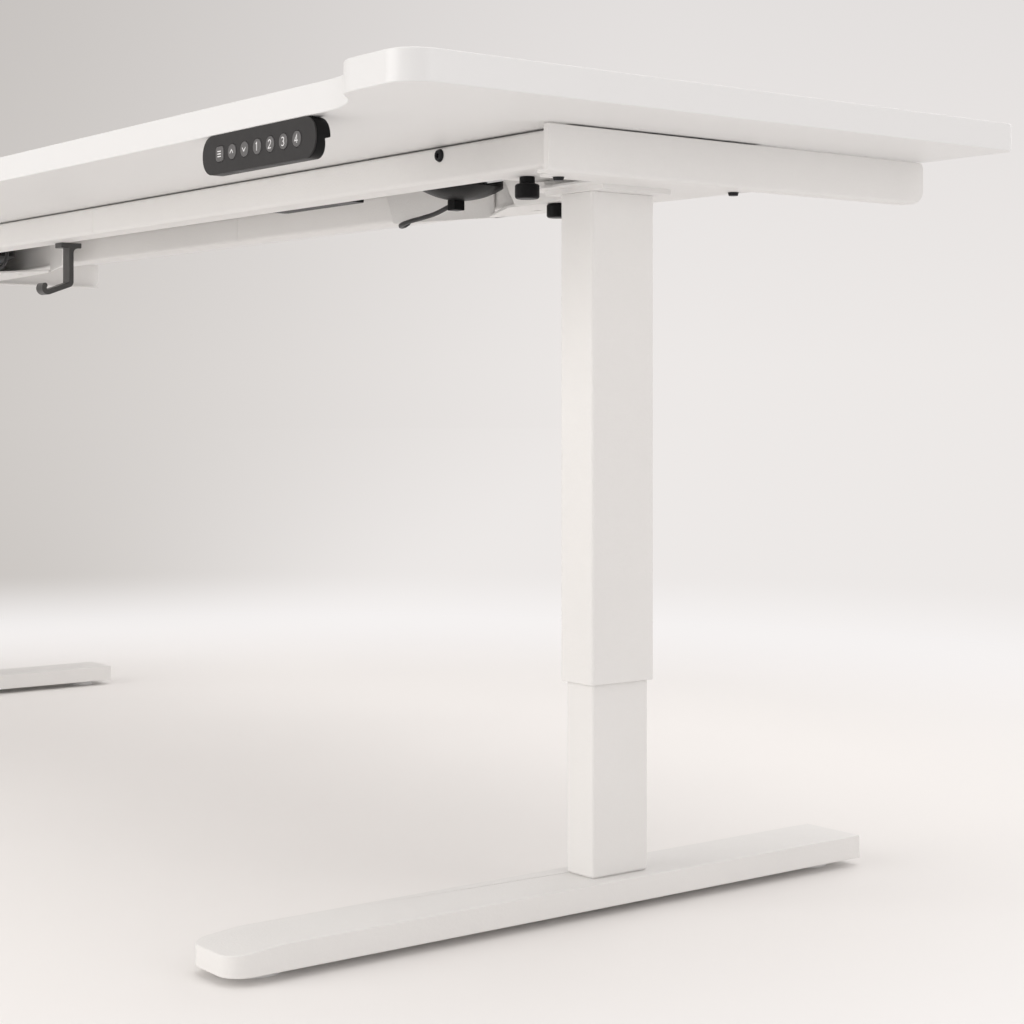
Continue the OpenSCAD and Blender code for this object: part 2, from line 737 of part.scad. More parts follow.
module control_box() {
    color(black) translate([box_right - box_len / 2, box_mid_y, under_z - box_h]) difference() {
        union() {
            linear_extrude(box_h) rrect(box_len, box_d, 6);
            translate([box_len / 2 - 1, -20, box_h - 3]) cube([box_lug + 1, 16, 3]);
            translate([-box_len / 2 - box_lug, 4, box_h - 3]) cube([box_lug + 1, 16, 3]);
        }
        // Mains inlet and two handset sockets in the back
        translate([-50, box_d / 2 - inlet[1], socket_z - inlet[2] / 2]) cube(inlet + [0, 1, 0]);
        for (x = jack_xs)
            translate([x, box_d / 2 - jack[1], socket_z - jack[2] / 2]) cube(jack + [0, 1, 0]);
        translate([box_len / 2 + box_lug / 2, -12, 0]) cylinder(r = under_r + 0.3, h = box_h + 1);
        translate([-box_len / 2 - box_lug / 2, 12, 0]) cylinder(r = under_r + 0.3, h = box_h + 1);
    }
}

// Wood screws up into the top: their heads press on the keypad case and the box's lugs
module small_screws() {
    color(black) for (p = under_screws) {
        seat = p[1] == key_screw_y ? under_z - 4 : under_z - 3;
        translate([p[0], p[1], seat]) cylinder(r = under_r, h = under_len);
        translate([p[0], p[1], seat - 2]) cylinder(r = 3, h = 2);
    }
}

// ---- Keypad: case, face and seven buttons ----

face_t = 1.6;
key_travel = 0.8;
key_back = 3;
pad_y = front_y + recess_d;
pad_z = under_z - pad_h / 2;
pad_r2 = 18;
first_key = pad_mid - pad_len / 2 + 34.3;

function key_x(i) = first_key + (i - 1) * key_pitch;

// Child shapes drawn in the face's plane, extruded from y0 backwards by t
module on_face(y0, t) {
    translate([pad_mid, pad_y + y0 + t, pad_z]) rotate([90, 0, 0]) linear_extrude(t) children();
}

module key_shape(i, grow) {
    translate([key_x(i) - pad_mid, 0]) if (i == 1) rrect(key_dia + 2 * grow, key_dia + 2 * grow, 4);
    else circle(key_dia / 2 + grow);
}

module keypad_case() {
    color(black) difference() {
        on_face(face_t, pad_d - face_t) rrect(pad_len, pad_h, pad_r2);
        // Sloping back
        translate([pad_mid - pad_len, pad_y + pad_d, pad_z - pad_h / 2 - 10]) rotate([12, 0, 0])
            translate([0, 0, -10]) cube([2 * pad_len, 40, pad_h]);
        for (i = [1:7]) on_face(face_t - 1, key_back + 1) key_shape(i, 0.6);
        for (k = [0, 1]) translate([under_screws[k][0], under_screws[k][1], under_z - 30]) {
            cylinder(r = 3.4, h = 26);
            cylinder(r = under_r + 0.3, h = 40);
        }
    }
}

module keypad_face() {
    color(soft_black) difference() {
        on_face(0, face_t) rrect(pad_len, pad_h, pad_r2);
        for (i = [1:7]) on_face(-1, face_t + 2) key_shape(i, 0.3);
    }
}

module button(i) {
    color([0.30, 0.30, 0.31]) {
        on_face(-key_proud, key_proud + face_t + 1.4) key_shape(i, 0);
    }
}

module button_1() { button(1); }
module button_2() { button(2); }
module button_3() { button(3); }
module button_4() { button(4); }
module button_5() { button(5); }
module button_6() { button(6); }
module button_7() { button(7); }

// ---- Headphone hook under the front rail ----

hook_tip = 9;
arm_slope = 20;
tip_turn = 150;
hook_bend = 8;
hook_fillet = 7;

// Centre of the hook's head plate, behind the middle of the front rail's flange
hook_y = col_y - rail_y + rail_d + 4.5;

// Side outline: head plate, fillet, stem, bend, sloping arm and raised tip, then back along the inside
function hook_outline() = let (
    a = arm_slope - 90,
    out = [cos(a), sin(a)],
    bend_c = [hook_t / 2 - hook_bend, -hook_drop + hook_bend],
    tip_c = bend_c + hook_reach * [out[1], -out[0]] + (hook_bend - hook_tip) * out,
    cap_c = tip_c + (hook_tip - hook_t / 2) * [cos(a - tip_turn), sin(a - tip_turn)],
    f = hook_fillet)
    concat([[-hook_head / 2, 0], [hook_head / 2, 0], [hook_head / 2, -hook_t]],
        arc(hook_t / 2 + f, -hook_t - f, f, 90, 180, 6),
        arc(bend_c[0], bend_c[1], hook_bend, 0, a, 8),
        arc(tip_c[0], tip_c[1], hook_tip, a, a - tip_turn, 14),
        arc(cap_c[0], cap_c[1], hook_t / 2, a - tip_turn - 20, a - tip_turn - 160, 7),
        arc(tip_c[0], tip_c[1], hook_tip - hook_t, a - tip_turn, a, 14),
        arc(bend_c[0], bend_c[1], hook_bend - hook_t, a, 0, 8),
        [[-hook_t / 2, -hook_t], [-hook_head / 2, -hook_t]]);

module headphone_hook() {
    color(black) translate([col_x - hook_in - hook_w / 2, hook_y, rail_low])
        rotate([90, 0, 90]) linear_extrude(hook_w) polygon(hook_outline());
}

// ---- Feet ----

nose_len = 52;
nose_drop = 5;
stud_len = 18;
boss_r = 8;
level_y = [-foot_front + 48, foot_rear - 40];

module foot_plan(grow) {
    w = foot_w - 2 * grow;
    r = max(foot_r - grow, 1);
    low = -foot_front + grow;
    high = foot_rear - grow;
    translate([-w / 2, low + r]) square([w, high - low - r]);
    translate([-w / 2 + r, low]) square([w - 2 * r, r + 1]);
    for (s = [-1, 1]) translate([s * (w / 2 - r), low + r]) circle(r);
}

// Wedge above the sloping nose, drawn in the Y-Z plane
module nose_cut(down) {
    translate([-foot_w, 0, 0]) rotate([90, 0, 90]) linear_extrude(2 * foot_w)
        polygon([[-foot_front - 1, foot_top - nose_drop - down],
            [-foot_front + nose_len, foot_top - down],
            [-foot_front + nose_len, foot_top + 1], [-foot_front - 1, foot_top + 1]]);
}

module foot(side) {
    color(frame_white) leg(side) difference() {
        union() {
            difference() {
                translate([0, 0, foot_low]) linear_extrude(foot_h) foot_plan(0);
                nose_cut(0);
                difference() {
                    translate([0, 0, foot_low + foot_t]) linear_extrude(foot_h - 2 * foot_t)
                        foot_plan(foot_t);
                    nose_cut(foot_t);
                }
            }
            for (y = level_y) translate([0, y, foot_low + 1]) cylinder(r = boss_r, h = foot_t + 8);
        }
        for (y = level_y) translate([0, y, foot_low - 1]) cylinder(r = stud_r + run_gap, h = foot_t + 12);
        for (p = foot_bolt_xy) translate([p[0], p[1], 0]) {
            translate([0, 0, foot_top - foot_t - 1]) cylinder(r = foot_bolt_r + 0.3, h = foot_t + 2);
            translate([0, 0, foot_low - 1]) cylinder(r = 8, h = foot_t + 2);
        }
    }
}

module foot_bolts(side) {
    color(steel) leg(side) for (p = foot_bolt_xy) translate([p[0], p[1], foot_top - foot_t - 8])
        difference() {
            union() {
                cylinder(r = 6.5, h = 8);
                cylinder(r = foot_bolt_r, h = 8 + foot_t + base_plate_t);
            }
            translate([0, 0, -1]) cylinder(r = 3.4, h = 5, $fn = 6);
        }
}

pad_h1 = level_h - 2;

module leveller(side, y) {
    color(soft_black) leg(side) translate([0, y, 0]) {
        cylinder(r1 = level_dia / 2, r2 = level_dia / 2 - 1, h = pad_h1);
        cylinder(r = stud_r, h = pad_h1 + stud_len);
    }
}

module foot_right() { foot(1); }
module foot_left() { foot(-1); }
module foot_bolts_right() { foot_bolts(1); }
module foot_bolts_left() { foot_bolts(-1); }
module leveller_front_right() { leveller(1, level_y[0]); }
module leveller_rear_right() { leveller(1, level_y[1]); }
module leveller_front_left() { leveller(-1, level_y[0]); }
module leveller_rear_left() { leveller(-1, level_y[1]); }

// ---- Nodes ----

desktop();
desktop_screws();
isolation_pads();
front_rail_right();
front_rail_left();
rear_rail_right();
rear_rail_left();
rail_splices();
rail_screws();
side_bracket_right();
side_bracket_left();
leg_plate_right();
leg_plate_left();
knob_bolts_right();
knob_bolts_left();
outer_tube_right();
outer_tube_left();
lower_guide_right();
lower_guide_left();
gearbox_right();
gearbox_left();
motor_right();
motor_left();
motor_plug_right();
motor_plug_left();
motor_cable_right();
motor_cable_left();
cable_clips();
control_box();
keypad_case();
keypad_face();
button_1();
button_2();
button_3();
button_4();
button_5();
button_6();
button_7();
headphone_hook();
small_screws();
lead_screw_right();
lead_screw_left();
screw_gear_right();
screw_gear_left();
drive_shaft_right();
drive_shaft_left();
foot_right();
foot_left();
foot_bolts_right();
foot_bolts_left();
inner_tube_right();
inner_tube_left();
upper_guide_right();
upper_guide_left();
lead_nut_right();
lead_nut_left();
leveller_front_right();
leveller_rear_right();
leveller_front_left();
leveller_rear_left();
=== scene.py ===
"""Looks of a height adjustable standing desk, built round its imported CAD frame. Metres, +Z up."""

import json
import math

import bmesh
import bpy
from mathutils import Matrix, Vector


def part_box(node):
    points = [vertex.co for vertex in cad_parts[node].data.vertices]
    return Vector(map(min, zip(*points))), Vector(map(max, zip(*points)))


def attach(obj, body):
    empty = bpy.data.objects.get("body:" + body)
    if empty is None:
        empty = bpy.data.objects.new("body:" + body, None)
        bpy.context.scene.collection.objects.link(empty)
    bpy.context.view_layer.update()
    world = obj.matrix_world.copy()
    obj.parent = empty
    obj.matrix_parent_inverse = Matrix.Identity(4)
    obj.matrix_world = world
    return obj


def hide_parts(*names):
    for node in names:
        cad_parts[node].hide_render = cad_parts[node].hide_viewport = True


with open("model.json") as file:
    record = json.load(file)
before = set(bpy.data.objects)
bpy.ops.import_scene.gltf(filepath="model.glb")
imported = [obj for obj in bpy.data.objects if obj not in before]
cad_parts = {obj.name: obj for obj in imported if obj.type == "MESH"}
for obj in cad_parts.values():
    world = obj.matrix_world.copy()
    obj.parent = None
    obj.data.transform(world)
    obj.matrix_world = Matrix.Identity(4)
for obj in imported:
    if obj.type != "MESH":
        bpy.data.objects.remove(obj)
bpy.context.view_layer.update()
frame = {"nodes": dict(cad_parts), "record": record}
nodes = frame["nodes"]
MM = 0.001


# ---- Camera ----

EYE = Vector((2.4082, -1.2528, 0.492))  # level camera, at about table-leg height
HEADING = Vector((-0.7923, 0.6101, 0.0))
LENS = 71.05
SENSOR = 36.0
HORIZON_DROP = -0.1045  # the frame is shifted down, which keeps the columns upright


def make_camera():
    data = bpy.data.cameras.new("camera")
    data.lens = LENS
    data.sensor_width = SENSOR
    data.shift_y = HORIZON_DROP
    cam = bpy.data.objects.new("camera", data)
    cam.location = EYE
    cam.rotation_euler = HEADING.to_track_quat("-Z", "Y").to_euler()
    bpy.context.scene.collection.objects.link(cam)
    bpy.context.scene.camera = cam


# ---- Node helpers ----


class Shader:
    """A node tree with short calls for the few nodes that the materials share."""

    def __init__(self, tree):
        self.tree = tree
        self.tree.nodes.clear()

    def add(self, kind, inputs=None, **settings):
        node = self.tree.nodes.new(kind)
        for key, value in settings.items():
            setattr(node, key, value)
        for key, value in (inputs or {}).items():
            if hasattr(value, "is_linked"):
                self.tree.links.new(value, node.inputs[key])
            else:
                node.inputs[key].default_value = value
        return node

    def maths(self, operation, a, b=0.0):
        return self.add("ShaderNodeMath", {0: a, 1: b}, operation=operation).outputs[0]

    def ramp(self, value, low, high, to_low=0.0, to_high=1.0, smooth=False):
        inputs = {0: value, 1: low, 2: high, 3: to_low, 4: to_high}
        kind = "SMOOTHSTEP" if smooth else "LINEAR"
        return self.add("ShaderNodeMapRange", inputs, interpolation_type=kind).outputs[0]

    def mix(self, factor, a, b, blend="MIX"):
        inputs = {0: factor, 6: a, 7: b}
        return self.add("ShaderNodeMix", inputs, data_type="RGBA", blend_type=blend).outputs[2]

    def place(self, stretch=(1, 1, 1)):
        """Object coordinates, in metres, stretched for a grain that runs one way."""
        coord = self.add("ShaderNodeTexCoord").outputs["Object"]
        if stretch == (1, 1, 1):
            return coord
        return self.add("ShaderNodeMapping", {0: coord, 3: stretch}).outputs[0]

    def noise(self, where, scale, detail=3.0, rough=0.5):
        inputs = {"Vector": where, "Scale": scale, "Detail": detail, "Roughness": rough}
        return self.add("ShaderNodeTexNoise", inputs).outputs[0]

    def cells(self, where, scale, feature="F1"):
        inputs = {"Vector": where, "Scale": scale}
        return self.add("ShaderNodeTexVoronoi", inputs, feature=feature).outputs

    def part(self, vector, axis):
        return self.add("ShaderNodeSeparateXYZ", {0: vector}).outputs["XYZ".index(axis)]

    def bump(self, height, distance, strength=1.0, under=None):
        inputs = {"Strength": strength, "Distance": distance, "Height": height}
        if under is not None:
            inputs["Normal"] = under
        return self.add("ShaderNodeBump", inputs).outputs[0]

    def finish(self, surface):
        self.add("ShaderNodeOutputMaterial", {"Surface": surface})

    def coat(self, inputs):
        self.finish(self.add("ShaderNodeBsdfPrincipled", inputs).outputs[0])


def shade(colour):
    """An RGBA value from three numbers."""
    return (*colour, 1.0)


def scaled(colour, share):
    return tuple(c * share for c in colour)


# ---- Stage: floor, surroundings and lights ----

GLOW = (0.845, 0.815, 0.80)
DUSK = (0.60, 0.57, 0.545)
OVERHEAD = (0.88, 0.88, 0.885)
# painted highlight: colour of the bright band painted across the floor's far part, where it meets
# the backdrop
PAINTED_BAND_GLOW = (0.93, 0.905, 0.90)
FLOOR_PAINT = ((0.87, 0.852, 0.838), (0.91, 0.892, 0.878))
ACROSS = Vector((0.6101, 0.7923, 0.0))  # from the dim side of the studio to the bright side


def studio_tone(sh, direction):
    """Brightness of the backdrop in a direction: dimmer to one side and overhead."""
    unit = sh.add("ShaderNodeVectorMath", {0: direction}, operation="NORMALIZE").outputs[0]
    facing = sh.add("ShaderNodeVectorMath", {0: unit, 1: ACROSS}, operation="DOT_PRODUCT")
    lit = sh.ramp(facing.outputs["Value"], -0.34, 0.10, smooth=True)
    height = sh.part(unit, "Z")
    tone = sh.mix(lit, shade(DUSK), shade(GLOW))
    return sh.mix(sh.ramp(height, 0.02, 0.26), tone, shade(OVERHEAD), "MULTIPLY")


def make_world():
    world = bpy.data.worlds.new("studio")
    bpy.context.scene.world = world
    world.use_nodes = True
    sh = Shader(world.node_tree)
    direction = sh.add("ShaderNodeTexCoord").outputs["Generated"]
    tone = studio_tone(sh, direction)
    surround = sh.add("ShaderNodeBackground", {"Color": tone, "Strength": 1.0})
    sh.add("ShaderNodeOutputWorld", {"Surface": surround.outputs[0]})


FLOOR_R = 40.0


def make_floor():
    """A pale floor that shades into the surroundings, and that is clear from below; its far part is
    painted glow with a painted bright band.
    """
    mesh = bpy.data.meshes.new("floor")
    bm = bmesh.new()
    bmesh.ops.create_circle(bm, cap_ends=True, radius=FLOOR_R, segments=64)
    bm.to_mesh(mesh)
    bm.free()
    floor = bpy.data.objects.new("floor", mesh)
    bpy.context.scene.collection.objects.link(floor)
    material = bpy.data.materials.new("studio_floor")
    material.use_nodes = True
    sh = Shader(material.node_tree)
    where = sh.place()
    reach = sh.add("ShaderNodeVectorMath", {0: where}, operation="LENGTH").outputs["Value"]
    patches = sh.noise(where, 0.9, 2.0)
    paint = sh.mix(sh.ramp(patches, 0.3, 0.7), *(shade(colour) for colour in FLOOR_PAINT))
    near = sh.add("ShaderNodeBsdfPrincipled", {"Base Color": paint, "Roughness": 0.7})
    # painted shade: the far floor takes the backdrop's tone, dimmer to one side
    tone = studio_tone(sh, where)
    # painted highlight: a bright band on the far floor, rising from 0.8 m and gone by 3.4 m
    rise = sh.ramp(reach, 0.8, 1.4, smooth=True)
    fall = sh.ramp(reach, 1.5, 3.4, 1.0, 0.0, smooth=True)
    bright = sh.mix(sh.maths("MULTIPLY", rise, fall), tone, shade(PAINTED_BAND_GLOW))
    # the far floor glows though it is no lamp: painted light in place of a lit backdrop
    far = sh.add("ShaderNodeEmission", {"Color": bright})
    fade = sh.ramp(reach, 0.85, 2.1, smooth=True)
    ground = sh.add("ShaderNodeMixShader", {0: fade, 1: near.outputs[0], 2: far.outputs[0]})
    clear = sh.add("ShaderNodeBsdfTransparent")
    behind = sh.add("ShaderNodeNewGeometry").outputs["Backfacing"]
    both = sh.add("ShaderNodeMixShader", {0: behind, 1: ground.outputs[0], 2: clear.outputs[0]})
    sh.finish(both.outputs[0])
    mesh.materials.append(material)


def softbox(name, place, target, size, power, tint=(1.0, 0.985, 0.965)):
    data = bpy.data.lights.new(name, "AREA")
    data.shape = "RECTANGLE"
    data.size, data.size_y = size
    data.energy = power
    data.color = tint
    lamp = bpy.data.objects.new(name, data)
    lamp.location = place
    lamp.rotation_euler = (Vector(target) - Vector(place)).to_track_quat("-Z", "Y").to_euler()
    bpy.context.scene.collection.objects.link(lamp)


def make_lights():
    softbox("overhead", (0.6, 0.2, 3.4), (0.4, 0, 0), (3.6, 2.8), 36)
    softbox("front", (-0.6, -4.1, 2.1), (0.6, 0, 0.4), (3.4, 2.4), 64)
    softbox("front_low", (-0.4, -4.0, 0.55), (0.5, 0, 0.6), (3.4, 0.9), 27)
    softbox("right", (4.6, 0.9, 1.7), (0.6, 0, 0.45), (2.2, 2.2), 20)
    softbox("back", (-1.2, 4.4, 2.2), (0, 0, 0.4), (3.0, 2.0), 22)


# ---- Materials ----

CLEAR_WHITE = (0.81, 0.806, 0.798)
BAND_WHITE = (0.80, 0.80, 0.80)
COAT_WHITE = (0.815, 0.805, 0.792)


def new_material(name):
    material = bpy.data.materials.new(name)
    material.use_nodes = True
    return material, Shader(material.node_tree)


def laminate():
    """Melamine face with a fine pearl texture, and a slightly glossier edge band."""
    material, sh = new_material("laminate")
    where = sh.place()
    cloud = sh.ramp(sh.noise(where, 3.0, 4.0), 0.3, 0.7)
    face = sh.mix(cloud, shade(scaled(CLEAR_WHITE, 0.985)), shade(CLEAR_WHITE))
    flat = sh.part(sh.add("ShaderNodeNewGeometry").outputs["Normal"], "Z")
    edge = sh.ramp(sh.maths("ABSOLUTE", flat), 0.80, 0.60)
    colour = sh.mix(edge, face, shade(BAND_WHITE))
    pearl = sh.noise(where, 1300, 2.0, 0.6)
    lines = sh.noise(sh.place((1.0, 1.0, 0.15)), 420, 2.0)
    relief = sh.bump(pearl, 0.00006)
    relief = sh.bump(lines, 0.00004, 0.6, relief)
    rough = sh.maths("ADD", sh.ramp(pearl, 0.3, 0.7, 0.36, 0.46), sh.maths("MULTIPLY", edge, -0.08))
    sh.coat({"Base Color": colour, "Roughness": rough, "Normal": relief})
    return material


def powder_coat():
    """Matt powder coat: orange peel, a finer grain, and slightly uneven sheen."""
    material, sh = new_material("white_powder_coat")
    where = sh.place()
    cloud = sh.ramp(sh.noise(where, 7.0, 4.0), 0.3, 0.7)
    speck = sh.ramp(sh.noise(where, 900, 1.0), 0.62, 0.75)
    colour = sh.mix(cloud, shade(scaled(COAT_WHITE, 0.975)), shade(COAT_WHITE))
    colour = sh.mix(sh.maths("MULTIPLY", speck, 0.25), colour, shade(scaled(COAT_WHITE, 0.9)))
    peel = sh.noise(where, 380, 2.0, 0.45)
    grain = sh.noise(where, 1900, 2.0, 0.6)
    relief = sh.bump(peel, 0.00022)
    relief = sh.bump(grain, 0.00006, 1.0, relief)
    rough = sh.ramp(sh.noise(where, 60, 3.0), 0.3, 0.7, 0.42, 0.52)
    sh.coat({"Base Color": colour, "Roughness": rough, "Normal": relief})
    return material


def plastic(name, colour, rough, grain=1200, depth=0.00008, swing=0.05, patch=20, gloss=0.5):
    """Moulded plastic or rubber: spark-eroded grain, with a small drift of tone and sheen."""
    material, sh = new_material(name)
    where = sh.place()
    drift = sh.ramp(sh.noise(where, patch, 3.0), 0.3, 0.7)
    tint = sh.mix(drift, shade(scaled(colour, 1 - swing)), shade(scaled(colour, 1 + swing)))
    pits = sh.cells(where, grain, "SMOOTH_F1")["Distance"]
    height = sh.maths("ADD", pits, sh.noise(where, grain * 0.6, 3.0))
    relief = sh.bump(height, depth)
    sheen = sh.ramp(sh.noise(where, 3 * patch, 2.0), 0.3, 0.7, rough - 0.05, rough + 0.05)
    look = {"Base Color": tint, "Roughness": sheen, "Normal": relief}
    sh.coat({**look, "Specular IOR Level": gloss})
    return material


def metal(name, colour, rough, stretch=(1, 1, 1), grain=900, depth=0.00004, patch=150):
    """Bare or plated metal: crystal patches, and a brushed or turned grain along one axis."""
    material, sh = new_material(name)
    where = sh.place()
    tone = sh.ramp(sh.part(sh.cells(where, patch)["Color"], "X"), 0, 1)
    tint = sh.mix(tone, shade(scaled(colour, 0.93)), shade(scaled(colour, 1.05)))
    brushed = sh.noise(sh.place(stretch), grain, 3.0, 0.6)
    relief = sh.bump(brushed, depth)
    sheen = sh.ramp(brushed, 0.3, 0.7, rough - 0.07, rough + 0.07)
    sh.coat({"Base Color": tint, "Metallic": 1.0, "Roughness": sheen, "Normal": relief})
    return material


MATERIALS = {
    "laminate": laminate(),
    "white_powder_coat": powder_coat(),
    "zinc_steel": metal("zinc_steel", (0.62, 0.63, 0.65), 0.34),
    "brass": metal("brass", (0.72, 0.56, 0.28), 0.28, (1, 1, 9)),
    "nylon": plastic("nylon", (0.70, 0.70, 0.68), 0.42, 800, 0.00006),
    "rubber": plastic("rubber", (0.030, 0.030, 0.031), 0.72, 700, 0.00012, gloss=0.3),
    "pad_plastic": plastic("pad_plastic", (0.85, 0.85, 0.85), 0.45, 900, 0.00008),
    "button_rubber": plastic("button_rubber", (0.105, 0.103, 0.104), 0.42, 2600, 0.00003),
    "keypad_face": plastic("keypad_face", (0.024, 0.023, 0.0235), 0.5, 2200, 0.00004, gloss=0.3),
    "black_oxide": metal("black_oxide", (0.030, 0.030, 0.032), 0.4),
    "cable_jacket": plastic("cable_jacket", (0.008, 0.008, 0.009), 0.45, 900, 0.00006, gloss=0.3),
    "cast_housing": plastic("cast_housing", (0.014, 0.014, 0.0145), 0.45, 420, 0.00020, gloss=0.35),
    "black_plastic": plastic(
        "black_plastic", (0.006, 0.006, 0.0065), 0.42, 1500, 0.00006, gloss=0.14
    ),
}
SATIN_BLACK = plastic("satin_black", (0.048, 0.047, 0.046), 0.36, 1100, 0.00008)
PRINT = plastic("white_print", (0.80, 0.80, 0.80), 0.5, 3000, 0.00001, 0.02)


# ---- CAD parts that keep their shape: broken edges and a finish ----

EDGE_ANGLE = math.radians(28)
FLAT_ANGLE = math.radians(0.4)


def soften(node, width, segments=2):
    """Rounds a CAD part's sharp edges, which sheet metal, board and mouldings never have."""
    obj = nodes[node]
    bpy.context.view_layer.objects.active = obj
    bpy.ops.mesh.customdata_custom_splitnormals_clear()
    obj.data.polygons.foreach_set("use_smooth", [True] * len(obj.data.polygons))
    weld = obj.modifiers.new("weld", "WELD")
    weld.merge_threshold = 0.01 * MM
    flat = obj.modifiers.new("flat", "DECIMATE")
    flat.decimate_type = "DISSOLVE"
    flat.angle_limit = FLAT_ANGLE
    bevel = obj.modifiers.new("edges", "BEVEL")
    bevel.width = width * MM
    bevel.segments = segments
    bevel.limit_method = "ANGLE"
    bevel.angle_limit = EDGE_ANGLE
    bevel.use_clamp_overlap = False
    bevel.harden_normals = True


EDGE_WIDTHS = [
    ("foot_", 1.1, 3),
    ("front_rail", 0.5, 2),
    ("rear_rail", 0.5, 2),
    ("side_bracket", 0.8, 3),
    ("leg_plate", 0.6, 2),
    ("outer_tube", 0.6, 2),
    ("inner_tube", 0.6, 2),
    ("headphone_hook", 0.9, 3),
    ("keypad_case", 1.2, 3),
    ("keypad_face", 0.4, 2),
    ("control_box", 1.0, 3),
    ("motor_plug", 0.8, 3),
    ("gearbox", 1.0, 2),
    ("knob_bolts", 0.8, 3),
    ("leveller", 0.5, 2),
]
FINE_EDGE = 0.25


def finish_cad_parts():
    slots = {row["node"]: row["material_slot"] for row in frame["record"]["subparts"]}
    for name, obj in nodes.items():
        width, segments = FINE_EDGE, 1
        for prefix, edge, rings in EDGE_WIDTHS:
            if name.startswith(prefix):
                width, segments = edge, rings
        soften(name, width, segments)
        obj.data.materials.clear()
        finish = SATIN_BLACK if name == "headphone_hook" else MATERIALS[slots[name]]
        obj.data.materials.append(finish)


# ---- Mesh helpers ----


def make_piece(name, bm, body, slot, instead=(), finishes=None):
    """Links a mesh with its finish and body; the finish is the one for its material slot unless
    others are given, and the CAD nodes it stands for are hidden.
    """
    bmesh.ops.recalc_face_normals(bm, faces=bm.faces)
    mesh = bpy.data.meshes.new(name)
    bm.to_mesh(mesh)
    bm.free()
    mesh.polygons.foreach_set("use_smooth", [True] * len(mesh.polygons))
    mesh.set_sharp_from_angle(angle=math.radians(35))
    for material in finishes or [MATERIALS[slot]]:
        mesh.materials.append(material)
    piece = bpy.data.objects.new(name, mesh)
    bpy.context.scene.collection.objects.link(piece)
    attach(piece, body)
    if instead:
        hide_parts(*instead)
    return piece


def skin(bm, loops, material=0):
    """Faces between loops of points, each loop as long as the last, with flat ends."""
    rings = [[bm.verts.new(point) for point in loop] for loop in loops]
    count = len(rings[0])
    faces = []
    for ring, after in zip(rings, rings[1:]):
        for k in range(count):
            after_k = (k + 1) % count
            faces.append(bm.faces.new((ring[k], ring[after_k], after[after_k], after[k])))
    faces += [bm.faces.new(rings[0]), bm.faces.new(rings[-1])]
    for face in faces:
        face.material_index = material


# ---- Desktop: one board with rounded edges, on the CAD outline ----

BOARD_EDGE = 1.6
BOARD_STEPS = 5


def top_outline(obj):
    """The outline of a CAD part's upper face, in order."""
    points = obj.data.vertices
    high = max(vertex.co.z for vertex in points)
    sides = set()
    for face in obj.data.polygons:
        if all(high - points[k].co.z < 0.01 * MM for k in face.vertices):
            corners = [tuple(round(c, 6) for c in points[k].co[:2]) for k in face.vertices]
            sides.update(zip(corners, corners[1:] + corners[:1]))
    follow = {a: b for a, b in sides if (b, a) not in sides}
    loop = [min(follow)]
    while follow[loop[-1]] != loop[0]:
        loop.append(follow[loop[-1]])
    return [Vector(point) for point in loop]


def drawn_in(loop, inset):
    """An outline moved inwards, for points that run anticlockwise."""
    moved = []
    for k, point in enumerate(loop):
        arrive = (point - loop[k - 1]).normalized()
        leave = (loop[(k + 1) % len(loop)] - point).normalized()
        inward = Vector((-(arrive + leave).y, (arrive + leave).x)).normalized()
        moved.append(point + inward * inset / inward.dot(Vector((-leave.y, leave.x))))
    return moved


def make_board():
    outline = top_outline(nodes["desktop"])
    low, high = (corner[2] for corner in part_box("desktop"))
    edge = BOARD_EDGE * MM
    profile = []
    for step in range(BOARD_STEPS + 1):
        turn = math.radians(90 * step / BOARD_STEPS)
        profile.append((edge * (1 - math.sin(turn)), edge * (1 - math.cos(turn))))
    levels = [(inset, low + rise) for inset, rise in profile]
    levels += [(inset, high - rise) for inset, rise in reversed(profile)]
    bm = bmesh.new()
    skin(bm, [[(*point, z) for point in drawn_in(outline, inset)] for inset, z in levels])
    board = make_piece("desk_board", bm, "upper", "laminate", ["desktop"])
    normals = board.modifiers.new("normals", "WEIGHTED_NORMAL")
    normals.keep_sharp = True
    normals.weight = 100


# ---- Keypad buttons: domed keys with printed signs ----

KEY_PROFILE = [  # (inset from the key's edge, place in front of the key's back), in mm
    (0.0, 0.0),
    (0.0, 3.2),
    (0.10, 3.5),
    (0.35, 3.74),
    (0.8, 3.88),
    (1.6, 3.96),
    (3.0, 4.0),
]
SIGN_BACK = 3.9
SIGN_FRONT = 4.06
SIGN_WIDTH = 0.95
SIGN_SCALE = 1.3
MITRE_LIMIT = 2.2
# Each sign is a list of strokes through points in mm, from the key's middle
SIGNS = {
    1: [[(-2.6, 1.9), (2.6, 1.9)], [(-2.6, 0), (2.6, 0)], [(-2.6, -1.9), (2.6, -1.9)]],
    2: [[(-2.3, -1.2), (0, 1.5), (2.3, -1.2)]],
    3: [[(-2.3, 1.2), (0, -1.5), (2.3, 1.2)]],
    4: [[(-1.2, 1.9), (0.2, 2.9), (0.2, -2.9)]],
    5: [
        [(-1.7, 1.6), (-1.2, 2.6), (0, 2.95), (1.3, 2.5), (1.7, 1.4), (1.2, 0.3)]
        + [(-1.8, -2.8), (2.0, -2.8)],
    ],
    6: [
        [(-1.6, 2.4), (-0.3, 2.95), (1.2, 2.5), (1.6, 1.5), (1.1, 0.5), (-0.3, 0.1)],
        [(-0.3, 0.1), (1.3, -0.4), (1.8, -1.5), (1.3, -2.5), (-0.2, -2.95), (-1.8, -2.4)],
    ],
    7: [[(0.8, -2.9), (0.8, 2.9), (-1.9, -1.2), (2.1, -1.2)]],
}


